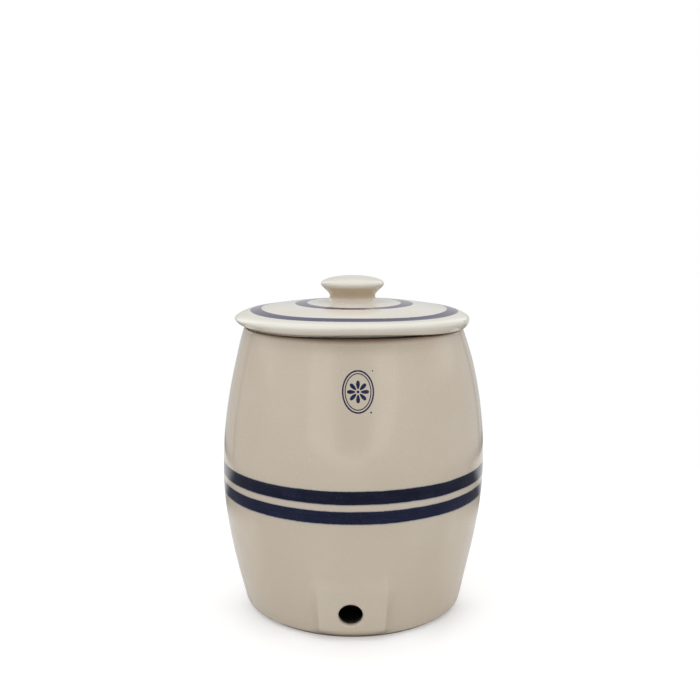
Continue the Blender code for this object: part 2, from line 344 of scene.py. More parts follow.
def brushEdge(n, position):
    # how far a brushed edge stands from its line at this point
    wander = (n.noise(position, 30.0) - 0.5) * cobalt["edgeWander"]
    return wander + (n.noise(position, 420.0) - 0.5) * cobalt["edgeRagged"]


def cobaltBrush(n, position, coverage):
    # brushed colour under the glaze: streaks that run with the wheel
    streak = n.noise(n.vector("MULTIPLY", position, cobalt["streakScale"]), 1.0, 3.0, 0.6)
    blotch = n.noise(position, 60.0)
    fine = n.noise(position, 800.0, 1.0)
    thin = n.step(streak * 0.3 + blotch * 0.3 + fine * 0.4, 0.40, 0.70)
    return n.mixColour(thin * 0.45, cobalt["deep"], cobalt["soft"]), coverage * (1 - thin * 0.02)


def glazeShader(n, tone, clayMask, dot, bandMask, position):
    # bare clay has no glaze: rough, and grainy
    grain = n.noise(position, 900.0, 3.0, 0.6)
    ripple = n.noise(position, glaze["rippleScale"])
    height = ripple * glaze["rippleHeight"] * (1 - clayMask) + grain * glaze["bareGrain"] * clayMask
    height = height - dot * glaze["ironDip"] + bandMask * cobalt["proud"]
    bump = n.add("ShaderNodeBump", inputs={"Strength": 1.0, "Distance": 1.0, "Height": height})
    rough = glaze["roughness"] + (n.noise(position, 45.0) - 0.5) * glaze["smear"]
    rough = rough + clayMask * glaze["bareRoughness"]
    shader = n.add("ShaderNodeBsdfPrincipled", inputs={
        "Base Color": tone, "Roughness": rough, "IOR": glaze["ior"], "Normal": bump,
        "Coat Weight": (1 - clayMask) * glaze["coat"], "Coat Roughness": glaze["coatRoughness"]})
    n.add("ShaderNodeOutputMaterial", inputs={"Surface": shader})


def newMaterial(name):
    material = bpy.data.materials.new(name)
    material.use_nodes = True
    material.node_tree.nodes.clear()
    n = Nodes(material.node_tree)
    return material, n, n.add("ShaderNodeTexCoord", out="Object")


# the crock

crock = {
    "baseRadius": 0.0983,
    "bellyRadius": 0.1189,
    "bellyHeight": 0.1255,
    "rimRadius": 0.0981,
    "baseLean": math.radians(12.5),
    "shoulderLean": math.radians(18.15),
    "wall": 0.008,
    "floor": 0.010,
    "floorCorner": 0.016,
    "rimRound": 0.0030,
    "rimStart": 0.0084,      # the rim's rounding starts this far down
    "footRadius": 0.0923,
    "footRing": 0.010,
    "footRecess": 0.0025,
    "footBevel": math.radians(35),
    "footCorner": 0.0045,
    "footEdge": 0.0012,
    "ringEdge": 0.0008,
    "recessEdge": 0.0012,
    "innerStep": 0.009,      # between rings of points
    "outerStep": 0.005,
    "fineStep": 0.0008,      # they are closer round the pad
    "fineBelow": 0.066,
    "lean": 0.0018,          # how far the shoulder stands to the right of the foot
    "leanSpan": (0.04, 0.22),
    "rimReturn": 0.0009,     # and how far the rim comes back
    "footShift": 0.0006,     # how far the foot stands to the right
    "footBack": 0.0007,      # and how far back
    "steps": 384,
    "frontCrowding": 0.75,
    "waviness": 0.00045,
    "seed": 3.7,
    "bands": ((0.1088, 0.1196, 0.30), (0.1253, 0.1364, 0.0)),   # bottom, top, how thin the colour is
    "colour": srgb(190, 179, 163),
    "warm": srgb(187, 174, 156),
    # the colour of the painted light on the lower front
    "pale": srgb(202, 194, 179),
    "paintedLowerLight": 0.20,
    # painted shade on the body under the lid, and how strong it is
    "rim": srgb(108, 77, 49),
    "underLidShade": 0.66,
    # brown of the thinned glaze at the foot, darkened to also carry painted shade
    "footBrownAndShade": srgb(152, 122, 92),
    "glazeLine": 0.0040,
    "glazeDrip": 0.0014,     # how far that line strays
    "glazeRight": 0.0032,    # and how much lower it is at the right, where the foot gets less painted shade
    # bare clay, darkened to also carry painted shade at the foot
    "bare": srgb(142, 118, 96),
}

pad = {
    "reach": 0.105276,       # from the axis to the pad's face, at the height of the hole
    "lean": math.radians(10.5),
    "top": 0.0500,
    "topHalf": 0.0295,
    "sideTaper": math.tan(math.radians(2.9)),
    "rightIn": 0.0005,       # the right side stands further in, and tapers more
    "rightTaper": math.tan(math.radians(0.9)),
    "topFlare": math.tan(math.radians(72)),
    "sideSoftness": 0.0008,
    "topSoftness": 0.012,
    "softness": 0.0008,      # where the sides meet the wall
    "fadeSoftness": 0.0040,  # where the top fades into the wall
    "fadeSpan": (0.034, 0.050),
    "lowerSoftness": 0.0040,
    "footBevel": math.radians(36),
    "footReach": 0.0917,
    "zone": (0.0004, 0.075),   # only points between these heights move,
    "zoneCosine": 0.8,         # and only near the front
    "footSplit": (0.012, 0.0905),   # below this height, the outer face is beyond this radius
    # painted shade beside the pad, and how strong it is
    "paintedShade": srgb(150, 138, 116),
    "shadeStrength": 0.14,
    # pale for the painted highlight on the pad's edges and the painted light on its face
    "pale": srgb(220, 212, 198),
    "edgeHighlight": 0.16,
    "paintedFaceLight": 0.12,       # painted light on the face, most above the foot
}

hole = {
    "radius": 0.0102,
    "height": 0.0252,
    "offset": -0.0017,
    "length": 0.0094,
    "overrun": 0.006,        # how far the cutter stands out at both ends
    "outerRound": 0.0013,
    "outerSink": 0.00005,    # the outer rounding starts this far inside the face
    "innerRound": 0.0035,
    "steps": 96,
    # painted shade inside the bore and on the floor behind it
    "dark": srgb(24, 22, 20),
    "boreShadeAmount": 0.94,
    "floorShade": (-0.0015, -0.0760, 0.0130),
}


def wallRadius(z):
    belly = crock["bellyHeight"]
    if z < belly:
        run = belly * math.tan(crock["baseLean"])
        return ease(z / belly, crock["baseRadius"], crock["bellyRadius"], run, 0.0)
    span = rimTop - belly
    run = -span * math.tan(crock["shoulderLean"])
    return ease((z - belly) / span, crock["bellyRadius"], crock["rimRadius"], 0.0, run)


def innerRadius(z):
    near = 0.0003
    slope = (wallRadius(z + near) - wallRadius(z - near)) / (2 * near)
    return wallRadius(z) - crock["wall"] * math.hypot(1.0, slope)


def bevelRadius(z):
    return crock["footRadius"] + z / math.tan(crock["footBevel"])


def bevelTop():
    low, high = 0.0, crock["bellyHeight"]
    while high - low > 0.000001:
        middle = (low + high) / 2
        low, high = (middle, high) if bevelRadius(middle) < wallRadius(middle) else (low, middle)
    return low


def crockProfile():
    lean = crock["baseLean"]
    corner = crock["floorCorner"]
    wallStart = crock["floor"] + corner * (1 - math.sin(lean))
    centre = (innerRadius(wallStart) - corner * math.cos(lean), crock["floor"] + corner)
    inside = [(r, crock["floor"]) for r in evenStops(0.0, centre[0], 0.008)]
    inside += arcPoints(centre, corner, -90, -math.degrees(lean), 12)[1:]
    wallEnd = rimTop - crock["rimStart"]
    inside += [(innerRadius(z), z) for z in evenStops(wallStart, wallEnd, crock["innerStep"])[1:]]
    innerCorner, outerCorner = (innerRadius(rimTop), rimTop), (crock["rimRadius"], rimTop)
    rim = roundCorner((innerRadius(wallEnd), wallEnd), innerCorner, outerCorner, crock["rimRound"], 9)
    rim += roundCorner(innerCorner, outerCorner, (wallRadius(wallEnd), wallEnd), crock["rimRound"], 9)
    top = bevelTop()
    heights = evenStops(wallEnd, crock["fineBelow"], crock["outerStep"])[:-1]
    heights += evenStops(crock["fineBelow"], top + crock["footCorner"], crock["fineStep"])
    outside = [(wallRadius(z), z) for z in heights]
    footEdge = (crock["footRadius"], 0.0)
    ringEdge = (crock["footRadius"] - crock["footRing"], 0.0)
    recessEdge = (ringEdge[0] - crock["footRecess"], crock["footRecess"])
    bevel = roundCorner(outside[-1], (wallRadius(top), top), footEdge, crock["footCorner"], 10)
    foot = roundCorner(bevel[-1], footEdge, ringEdge, crock["footEdge"], 6)
    (topR, topZ), (endR, endZ) = bevel[-1], foot[0]
    slope = [(topR + (endR - topR) * k / 8, topZ + (endZ - topZ) * k / 8) for k in range(1, 8)]
    under = roundCorner(footEdge, ringEdge, recessEdge, crock["ringEdge"], 4)
    under += roundCorner(ringEdge, recessEdge, (0.0, crock["footRecess"]), crock["recessEdge"], 4)
    under += [(r, crock["footRecess"]) for r in evenStops(recessEdge[0] - 0.004, 0.0, 0.012)]
    return inside + rim + outside + bevel[1:] + slope + foot + under


def padReach(x, z):
    # distance of the pad's surface in front of the axis plane
    face = pad["reach"] + (z - hole["height"]) * math.tan(pad["lean"])
    below = pad["top"] - z
    half = pad["topHalf"] - below * pad["sideTaper"] - (x > 0) * (pad["rightIn"] + below * pad["rightTaper"])
    side = smoothMax(np.abs(x) - half, 0.0, pad["sideSoftness"])
    above = smoothMax(z - pad["top"], 0.0, pad["topSoftness"])
    return face - side - above * (1 / pad["topFlare"] + math.tan(pad["lean"]))


def raisePad(item):
    # the pad stands out of the wall, softened as clay and glaze soften it
    co = readPoints(item)
    radius = np.hypot(co[:, 0], co[:, 1])
    z = co[:, 2]
    safe = np.maximum(radius, 1e-9)
    cosine = np.where(radius > 0, -co[:, 1] / safe, 0.0)
    sine = np.where(radius > 0, co[:, 0] / safe, 0.0)
    splitHeight, splitRadius = pad["footSplit"]
    middle = np.array([(wallRadius(h) + innerRadius(h)) / 2 if h > splitHeight else splitRadius for h in z])
    lowest, highest = pad["zone"]
    outer = (radius > middle) & (cosine > pad["zoneCosine"]) & (z > lowest) & (z < highest)
    soft = pad["softness"] + (pad["fadeSoftness"] - pad["softness"]) * smoothStep(z, *pad["fadeSpan"])
    bevel = pad["footReach"] + z / math.tan(pad["footBevel"])
    reach = radius.copy()
    for _ in range(4):
        land = padReach(reach * sine, z) / np.maximum(cosine, 0.2)
        reach = smoothMax(radius, smoothMin(land, bevel, pad["lowerSoftness"]), soft)
    grown = np.where(outer, reach / safe, 1.0)
    co[:, 0] *= grown
    co[:, 1] *= grown
    # the whole crock leans a little, and comes back at the rim
    leanStart, leanEnd = crock["leanSpan"]
    co[:, 0] += crock["lean"] * (smoothStep(z, leanStart, leanEnd) - 0.08)
    co[:, 0] -= crock["rimReturn"] * smoothStep(z, leanEnd, rimTop)
    co[:, 0] += crock["footShift"] * (1 - smoothStep(z, 0.004, 0.036))
    co[:, 1] += crock["footBack"] * (1 - smoothStep(z, 0.002, 0.016))
    writePoints(item, co)


def padPlace():
    turned = Matrix.Rotation(pad["lean"], 4, "X")
    return Matrix.Translation((hole["offset"], -pad["reach"], hole["height"])) @ turned


def cutHole(item, clay):
    # a bore square to the pad, rounded where it meets the face and the inside
    outerRound, innerRound = hole["outerRound"], hole["innerRound"]
    top, bottom = hole["overrun"], -hole["length"] - hole["overrun"]
    outerCentre = (hole["radius"] + outerRound, -outerRound - hole["outerSink"])
    outer = arcPoints(outerCentre, outerRound, 90, 180, 8)
    inner = arcPoints((hole["radius"] + innerRound, innerRound - hole["length"]), innerRound, 180, 270, 8)
    profile = [(0.0, top), (outer[0][0], top)] + outer + inner + [(inner[-1][0], bottom), (0.0, bottom)]
    cutter = turn("tapHoleCutter", profile, hole["steps"], 0.0, 0.0, 0.0, clay)
    cutter.matrix_world = padPlace() @ Matrix.Rotation(math.radians(90), 4, "X")
    cut = item.modifiers.new("hole", "BOOLEAN")
    cut.operation = "DIFFERENCE"
    cut.solver = "EXACT"
    cut.object = cutter
    bpy.context.view_layer.update()
    finished = plainMesh(item, item.name)
    bpy.data.objects.remove(cutter)
    return finished


def shadePad(n, position, tone):
    # painted shade beside the pad's sides, a painted highlight along its edges, and painted light on its face
    x, y, height = n.split(position)
    front = n.step(y * -1.0, 0.070, 0.075)
    below = pad["top"] - height
    half = pad["topHalf"] - below * pad["sideTaper"]
    half = half - n.step(x, -0.001, 0.001) * (pad["rightIn"] + below * pad["rightTaper"])
    beside = x.maths("ABSOLUTE") - half
    upright = n.step(height, 0.004, 0.010) * (1 - n.step(height, 0.026, 0.050)) * front
    paintedShade = n.step(beside, 0.0002, 0.0014) * (1 - n.step(beside, 0.0014, 0.0080)) * upright
    tone = n.mixColour(paintedShade * pad["shadeStrength"], tone, pad["paintedShade"])
    # painted highlight along the pad's edges
    edge = n.band(beside, -0.0014, 0.0000, 0.0005) * upright
    tone = n.mixColour(edge * pad["edgeHighlight"], tone, pad["pale"])
    # painted light on the pad's face
    face = (1 - n.step(beside, -0.0030, 0.0004)) * (1 - n.step(height, 0.024, 0.052)) * front
    face = face * (n.step(height, 0.0062, 0.0082) + n.band(height, 0.0074, 0.0120, 0.0014) * 0.6)
    tone = n.mixColour(face * pad["paintedFaceLight"], tone, pad["pale"])
    # painted shade inside the bore, and on the floor of the inside behind it
    middle = n.vector("SUBTRACT", position, (hole["offset"], -pad["reach"], hole["height"]))
    inwards = (0.0, math.cos(pad["lean"]), math.sin(pad["lean"]))
    depth = n.vector("DOT_PRODUCT", middle, inwards, 1)
    away = (n.vector("DOT_PRODUCT", middle, middle, 1) - depth * depth).maths("MAXIMUM", 0.0) ** 0.5
    bore = 1 - n.step(away, hole["radius"] + 0.0004, hole["radius"] + 0.0012)
    bore = bore * n.step(depth, 0.0026, 0.0042) * (1 - n.step(depth, 0.0140, 0.0180))
    floorShade = 1 - n.step(n.vector("DISTANCE", position, hole["floorShade"], 1), 0.016, 0.034)
    floorShade = floorShade * n.step(depth, 0.0085, 0.0100) * n.step(height, 0.0050, 0.0070)
    return n.mixColour(bore.maths("MAXIMUM", floorShade) * hole["boreShadeAmount"], tone, hole["dark"])


def makeCrockGlaze():
    material, n, position = newMaterial("crockCreamGlaze")
    tone, dot = glazeBase(n, position, crock["colour"], crock["warm"])
    x, y, height = n.split(position)
    radius = (x * x + y * y) ** 0.5
    outside = n.step(radius, 0.0960, 0.0962)
    belly = n.step(radius, 0.1145, 0.1155)        # the bands are on the outside only
    level = height + brushEdge(n, position)
    bands, thin = None, 0.0
    for low, high, thinness in crock["bands"]:
        one = n.band(level, low, high, cobalt["edgeSoft"]) * belly
        bands = one if bands is None else bands.maths("MAXIMUM", one)
        thin = one * thinness + thin
        halo, haze = cobalt["haloWidth"], cobalt["hazeWidth"]
        near = n.band(level, low - halo, high + halo * 0.6, cobalt["edgeSoft"])
        far = n.band(level, low - haze, high + haze, 0.0035)
        tone = n.mixColour((near * 0.4 + far * 0.08) * belly, tone, cobalt["halo"])
    blue, cover = cobaltBrush(n, position, bands)
    blue = n.mixColour(thin, blue, cobalt["soft"])
    tone = n.mixColour(cover, tone, blue)
    tone = shadePad(n, position, tone)
    # painted light on the lower front, and painted shade on the body under the rim, where the lid overhangs
    facing = y / radius
    # painted light on the lower front
    lowerFrontLight = n.band(height, 0.035, 0.105, 0.018) * n.step(facing * -1.0, 0.55, 0.85) * (1 - bands) * outside
    tone = n.mixColour(lowerFrontLight * crock["paintedLowerLight"], tone, crock["pale"])
    # painted shade under the lid's overhang, most at the front
    rim = n.step(height, rimTop - 0.0042, rimTop - 0.0002)
    rim = rim + n.step(height, rimTop - 0.0150, rimTop - 0.0040) * 0.26
    tone = n.mixColour(rim * outside * facing * facing * crock["underLidShade"], tone, crock["rim"])
    # it thins over the foot's edge to brown, with painted shade in the same tint, most below the pad, then
    # stops
    drip = (n.noise(position, 55.0, 3.0) - 0.5) * crock["glazeDrip"]
    line = height + drip + n.step(x, 0.010, 0.050) * crock["glazeRight"]
    brownAndShade = 1 - n.step(line, crock["glazeLine"], crock["glazeLine"] + 0.0035)
    brownAndShade = brownAndShade * n.step(radius, 0.080, 0.0805)
    below = (1 - n.step(x.maths("ABSOLUTE"), 0.024, 0.040)) * n.step(y * -1.0, 0.0, 0.05)
    tone = n.mixColour(brownAndShade * (below * 0.50 + 0.22), tone, crock["footBrownAndShade"])
    # the foot ring and the recess under the floor are bare clay, its tone darkened to also paint shade at the
    # foot
    bare = 1 - n.step(line, below * 0.0018 + 0.0006, below * 0.0022 + 0.0014)
    bare = bare.maths("MAXIMUM", 1 - n.step(height, 0.0002, 0.0005))
    bare = bare.maths("MAXIMUM", (1 - n.step(height, 0.0030, 0.0040)) * (1 - n.step(radius, 0.0842, 0.0848)))
    tone = n.mixColour(bare, tone, crock["bare"])
    glazeShader(n, tone, bare, dot, cover, position)
    return material


crockGlaze = makeCrockGlaze()
crockBody = turn("crockBody", crockProfile(), crock["steps"], crock["frontCrowding"], crock["waviness"],
                 crock["seed"], crockGlaze)
raisePad(crockBody)
crockBody = cutHole(crockBody, crockGlaze)
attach(crockBody, "crock")
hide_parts("crock")
print("crock made", len(crockBody.data.polygons), "faces")


# a small generic rosette in an oval, printed in cobalt on the front

rosette = {
    "azimuth": math.radians(2.18),
    "height": 0.2159,
    "ovals": ((0.0129, 0.0170, 0.00125), (0.0107, 0.0146, 0.00080)),   # half width, half height, line
    "hub": 0.0011,
    "petals": 8,
    "petalStart": 0.0021,
    "petalLength": 0.0068,
    "petalWidth": 0.0038,
    "petalRoot": 0.55,       # a petal starts at this share of its width
    "ink": srgb(24, 32, 66),
    "thinInk": srgb(78, 84, 112),
    "proud": 0.00007,
    "thickness": 0.00012,
    "specks": ((8.60, 0.2321, 0.00055), (7.43, 0.1997, 0.00075)),      # degrees, height, radius
}


def makeRosetteTree():
    # petals set evenly round a hub
    n, given = newTree("rosettePetals", (
        ("Petals", "Int"), ("Start", "Float"), ("Length", "Float"), ("Width", "Float"), ("Ink", "Material")))
    leaf = n.add("GeometryNodeMeshCircle", {"fill_type": "NGON"}, {"Vertices": 24, "Radius": 1.0})
    across, up, _ = n.split(n.add("GeometryNodeInputPosition"))
    along = (up + 1.0) * 0.5
    root = rosette["petalRoot"]
    narrow = across * given["Width"] * 0.5 * (root + along * (1 - root))
    reach = given["Start"] + along * given["Length"]
    leaf = n.add("GeometryNodeSetPosition", inputs={"Geometry": leaf, "Position": n.join(narrow, reach)})
    hub = n.add("GeometryNodeMeshCircle", {"fill_type": "NONE"}, {
        "Vertices": given["Petals"], "Radius": 0.000001})
    spin = n.join(z=n.add("GeometryNodeInputIndex") * (2 * math.pi) / given["Petals"])
    petals = n.add("GeometryNodeInstanceOnPoints", inputs={"Points": hub, "Instance": leaf, "Rotation": spin})
    return finishTree(n, petals, given["Ink"])


def ovalLine(shape, halfWidth, halfHeight, line, count=120):
    angles = np.linspace(0, 2 * math.pi, count, endpoint=False)
    rings = []
    for wide, tall in ((halfWidth, halfHeight), (halfWidth - line, halfHeight - line)):
        rings.append([shape.verts.new((wide * math.cos(a), tall * math.sin(a), 0.0)) for a in angles])
    for k in range(count):
        after = (k + 1) % count
        shape.faces.new((rings[0][k], rings[0][after], rings[1][after], rings[1][k]))


def makeInk():
    material, n, position = newMaterial("stampedCobalt")
    patchy = n.step(n.noise(position, 900.0), 0.45, 0.75)
    tone = n.mixColour(patchy * 0.6, rosette["ink"], rosette["thinInk"])
    shader = n.add("ShaderNodeBsdfPrincipled", inputs={
        "Base Color": tone, "Roughness": glaze["roughness"], "IOR": glaze["ior"],
        "Coat Weight": glaze["coat"], "Coat Roughness": glaze["coatRoughness"]})
    n.add("ShaderNodeOutputMaterial", inputs={"Surface": shader})
    return material


def layOnWall(shape, wall):
    # every point is set on the wall by a ray towards the axis
    tree = BVHTree.FromObject(wall, bpy.context.evaluated_depsgraph_get())
    for vertex in shape.verts:
        z = rosette["height"] + vertex.co.y
        angle = rosette["azimuth"] + vertex.co.x / wallRadius(z)
        outwards = Vector((math.sin(angle), -math.cos(angle), 0.0))
        hit, normal, _, _ = tree.ray_cast(outwards * 0.2 + Vector((0, 0, z)), -outwards)
        vertex.co = hit + normal * rosette["proud"]


def makeRosette(wall):
    ink = makeInk()
    item = bpy.data.objects.new("rosetteFlat", bpy.data.meshes.new("rosetteFlat"))
    bpy.context.scene.collection.objects.link(item)
    modifier = item.modifiers.new("petals", "NODES")
    modifier.node_group = makeRosetteTree()
    setInputs(modifier, {"Petals": rosette["petals"], "Start": rosette["petalStart"],
                         "Length": rosette["petalLength"], "Width": rosette["petalWidth"], "Ink": ink})
    flat = plainMesh(item, "rosetteSheet")
    shape = bmesh.new()
    shape.from_mesh(flat.data)
    bmesh.ops.triangulate(shape, faces=shape.faces)
    bmesh.ops.create_circle(shape, cap_ends=True, segments=24, radius=rosette["hub"])
    for azimuth, z, size in rosette["specks"]:
        aside = wallRadius(z) * (math.radians(azimuth) - rosette["azimuth"])
        place = Matrix.Translation((aside, z - rosette["height"], 0.0))
        bmesh.ops.create_circle(shape, cap_ends=True, segments=12, radius=size, matrix=place)
    for halfWidth, halfHeight, line in rosette["ovals"]:
        ovalLine(shape, halfWidth, halfHeight, line)
    layOnWall(shape, wall)
    for each in shape.faces:
        each.material_index = 0
    shape.to_mesh(flat.data)
    shape.free()
    flat.data.materials.clear()
    flat.data.materials.append(ink)
    solid = flat.modifiers.new("ink", "SOLIDIFY")
    solid.thickness = rosette["thickness"]
    solid.offset = -1.0
    bpy.context.view_layer.update()
    finished = plainMesh(flat, "rosettePrint")
    outward(finished, smooth=False)
    return finished


rosettePrint = makeRosette(crockBody)
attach(rosettePrint, "crock")
print("rosette made")


# the lid

lid = {
    "seat": 0.0003,
    "radius": 0.1053,
    "edgeHeight": 0.0068,
    "edgeRound": 0.0052,
    "edgePower": 2.07,       # the shoulder is a little fuller than an ellipse
    "rollPower": 1.6,        # the roll under it is flatter than an ellipse
    "seatRadius": 0.0965,
    "shoulder": 0.090,
    "crown": 0.0221,
    "domeRadius": 0.520,
    "thickness": 0.0075,
    "flangeGap": 0.0021,
    "flangeThick": 0.007,
    "flangeDepth": 0.010,
    "flangeTopRound": 0.0012,
    "flangeRound": 0.0022,
    "hollowRound": 0.005,
    "knobRadius": 0.0283,
    "knobEdge": 0.0150,
    "knobRise": 0.0071,
    "crownPower": 2.05,      # 2 is a plain ellipse, and more is a fuller crown
    "knobLip": 0.0034,
    "neckRadius": 0.0204,
    "neckHeight": 0.0041,
    "rings": ((0.0834, 0.0, 0.0934, 0.0),   # inner radius and its shift forward, then the outer one's
              (0.0418, 0.0053, 0.0530, 0.0010)),
    "ringShift": 0.0014,     # the brushed rings stand a little to the right of the middle
    "lowerRoll": math.radians(0.25),   # the underside tips down to the right
    "shift": -0.0004,        # the edge stands a little to the left of the knob
    "warp": 0.0030,          # how far the edge lifts at the back, and at the front
    "frontWarp": 0.0022,
    "lowerWarp": 0.0045,     # the underside stands off the rim at the front
    "lowerBack": 0.0015,
    "warpPower": 2.0,        # more is a narrower lift
    "lowerPower": 7.5,
    "warpTurn": math.radians(10.0),   # the lift stands to the right of the front
    "lowerHang": 0.50,       # and its outer part hangs lower than the seat's corner
    "sideDrop": 0.0007,      # at the sides too, and most at the right
    "rollTilt": math.radians(0.75),
    "sag": 0.0007,           # the dome is lower to both sides of the front
    "steps": 288,
    "waviness": 0.0004,
    "seed": 8.1,
    "colour": srgb(214, 211, 202),
    "warm": srgb(210, 205, 193),
    # painted shade on the knob's top
    "knobTopShade": srgb(190, 185, 170),
    # painted shade in the knob's waist and under the lid's edge, and how strong it is
    "paintedShade": srgb(170, 130, 70),
    "shadeStrength": 0.54,
    # bare clay, darkened to also carry painted shade in the gap over the rim
    "bare": srgb(134, 110, 86),
    "ringColour": srgb(48, 42, 88),   # the colour is thinner here than on the crock
    "ringThin": 0.80,
}


def domeHeight(r):
    return lid["crown"] - r * r / (2 * lid["domeRadius"])


def knobProfile(rootRadius):
    # crown, lip, waist, and a root that runs out on the dome
    edge = lid["crown"] + lid["knobEdge"]
    knob = lid["knobRadius"]
    full = 2 / lid["crownPower"]
    top = [(knob * math.sin(a) ** full, edge + lid["knobRise"] * math.cos(a) ** full)
           for a in np.radians(np.linspace(0, 90, 25))[:-1]]
    lip = arcPoints((knob - lid["knobLip"], edge), lid["knobLip"], 0, -45, 8)
    waistHeight = lid["crown"] + lid["neckHeight"]
    drop = lip[-1][1] - waistHeight
    waist = [(ease(s, lip[-1][0], lid["neckRadius"], -drop, 0.0), lip[-1][1] - drop * s)
             for s in np.linspace(0, 1, 14)[1:-1]]
    rootDrop = waistHeight - domeHeight(rootRadius)
    root = [(rootRadius - lid["neckHeight"] * math.cos(a), waistHeight - rootDrop * math.sin(a))
            for a in np.radians(np.linspace(0, 90, 10))]
    return top + lip + waist + root


def lidProfile():
    rootRadius = lid["neckRadius"] + lid["neckHeight"]
    dome = [(r, domeHeight(r)) for r in evenStops(rootRadius, lid["shoulder"], 0.0022)[1:]]
    reach = lid["radius"] - lid["shoulder"]
    edge, rolled = lid["edgeHeight"], lid["edgeRound"]
    shoulder = []
    full = 2 / lid["edgePower"]
    for angle in np.radians(np.linspace(0, 90, 26))[1:-1]:
        r = lid["shoulder"] + reach * math.sin(angle) ** full
        shoulder.append((r, edge + (domeHeight(r) - edge) * math.cos(angle) ** full))
    full = 2 / lid["rollPower"]
    roll = [(lid["radius"] - rolled * (1 - math.cos(a) ** full), edge - rolled * math.sin(a) ** full)
            for a in np.radians(np.linspace(0, 90, 22))]
    outer = innerRadius(rimTop) - lid["flangeGap"]
    inner = outer - lid["flangeThick"]
    seat = [(r, 0.0) for r in evenStops(lid["seatRadius"], outer + 0.003, 0.003)]
    low = -lid["flangeDepth"]
    hollowTop = (inner, domeHeight(inner) - lid["thickness"])
    hollowNext = (inner / 2, domeHeight(inner / 2) - lid["thickness"])
    flange = roundCorner(seat[-1], (outer, 0.0), (outer, low), lid["flangeTopRound"], 5)
    flange += roundCorner((outer, 0.0), (outer, low), (inner, low), lid["flangeRound"], 6)
    flange += roundCorner((outer, low), (inner, low), hollowTop, lid["flangeRound"], 6)
    hollow = roundCorner((inner, low), hollowTop, hollowNext, lid["hollowRound"], 8)
    hollow += [(r, domeHeight(r) - lid["thickness"]) for r in evenStops(inner - 0.010, 0.0, 0.006)]
    return knobProfile(rootRadius) + dome + shoulder + roll + seat + flange + hollow


def warpLid(item):
    # moved up to its seat, with the edge a little higher at the front and the back
    co = readPoints(item)
    x = co[:, 0].copy()
    radius = np.hypot(x, co[:, 1])
    azimuth = np.arctan2(x, -co[:, 1])
    facing = np.cos(azimuth - lid["warpTurn"])
    inFront = facing > 0
    upper = smoothStep(co[:, 2], 0.002, 0.009)
    under = np.where(inFront, lid["lowerWarp"], lid["lowerBack"])
    warp = under + (np.where(inFront, lid["frontWarp"], lid["warp"]) - under) * upper
    power = lid["lowerPower"] + (lid["warpPower"] - lid["lowerPower"]) * upper
    rolled = (1 - upper) * smoothStep(radius, 0.0965, 0.1000)
    hang = 1 - lid["lowerHang"] * rolled * inFront
    lift = warp * np.abs(facing) ** power * smoothStep(radius, 0.090, 0.0995 + 0.0059 * upper) * hang
    lift = lift - rolled * (lid["sideDrop"] * (1 - facing ** 2) + x * math.sin(lid["rollTilt"]))
    aside = np.sin(2 * azimuth) ** 2 * (np.abs(azimuth) < math.pi / 2)
    aside = aside * smoothStep(radius, 0.055, 0.082) * (1 - smoothStep(radius, 0.090, 0.102))
    lift = lift - lid["sag"] * aside
    lift = lift - x * np.sin(lid["lowerRoll"] * (1 - upper)) * smoothStep(radius, 0.088, 0.096)
    co[:, 2] += rimTop + lid["seat"] + lift
    co[:, 0] += lid["shift"] * smoothStep(radius, 0.05, 0.09)
    writePoints(item, co)


def makeLidGlaze():
    material, n, position = newMaterial("lidCreamGlaze")
    tone, dot = glazeBase(n, position, lid["colour"], lid["warm"])
    x, y, z = n.split(position)
    squared = x * x + y * y
    radius = squared ** 0.5
    height = z - (rimTop + lid["seat"])
    crown = lid["crown"]
    onTop = n.step(height - (crown - squared / (2 * lid["domeRadius"])), -0.0052, -0.0046)
    across = x - lid["ringShift"]
    stray = brushEdge(n, position)

    def beyond(ring, forward):
        back = y + forward
        reach = (across * across + back * back) ** 0.5 + stray
        return n.step(reach, ring - cobalt["edgeSoft"], ring + cobalt["edgeSoft"])

    rings = None
    for low, lowForward, high, highForward in lid["rings"]:
        one = beyond(low, lowForward) * (1 - beyond(high, highForward)) * onTop
        rings = one if rings is None else rings.maths("MAXIMUM", one)
    blue, cover = cobaltBrush(n, position, rings)
    blue = n.mixColour(lid["ringThin"], blue, lid["ringColour"])
    # the brush ran dry at the front of the inner ring
    fade = n.band(across, 0.010, 0.024, 0.006) * n.band(y, -0.0560, -0.0440, 0.0030)
    cover = cover * (1 - fade * 0.40)
    tone = n.mixColour(cover, tone, blue)
    # painted shade in the knob's waist and on the underside of the edge
    waist = n.step(height, crown - 0.0004, crown + 0.0008) * 0.42
    waist = waist + n.step(height, crown + 0.0020, crown + 0.0036) * 0.58
    waist = waist * (1 - n.step(radius, 0.0265, 0.030)) * (1 - n.step(height, crown + 0.0112, crown + 0.0165))
    under = (1 - n.step(height, 0.0040, 0.0085)) * n.step(radius, 0.094, 0.097)
    tone = n.mixColour(waist.maths("MAXIMUM", under * 0.35) * lid["shadeStrength"], tone, lid["paintedShade"])
    # painted shade over the top of the knob
    tone = n.mixColour(n.step(height, crown + 0.0100, crown + 0.0140) * 0.10, tone, lid["knobTopShade"])
    # the seat and the end of the flange are bare clay, its tone darkened to also paint shade in the gap over
    # the rim
    seat = (1 - n.step(height, 0.0006, 0.0011)) * n.band(radius, 0.0895, 0.1010, 0.0004)
    bare = seat.maths("MAXIMUM", 1 - n.step(height, -0.0095, -0.0088))
    tone = n.mixColour(bare, tone, lid["bare"])
    glazeShader(n, tone, bare, dot, cover, position)
    return material


lidShell = turn("lidShell", lidProfile(), lid["steps"], 0.0, lid["waviness"], lid["seed"], makeLidGlaze())
warpLid(lidShell)
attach(lidShell, "lid")
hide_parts("lid")
print("lid made", len(lidShell.data.polygons), "faces")


# studio: pale floor, soft light, camera

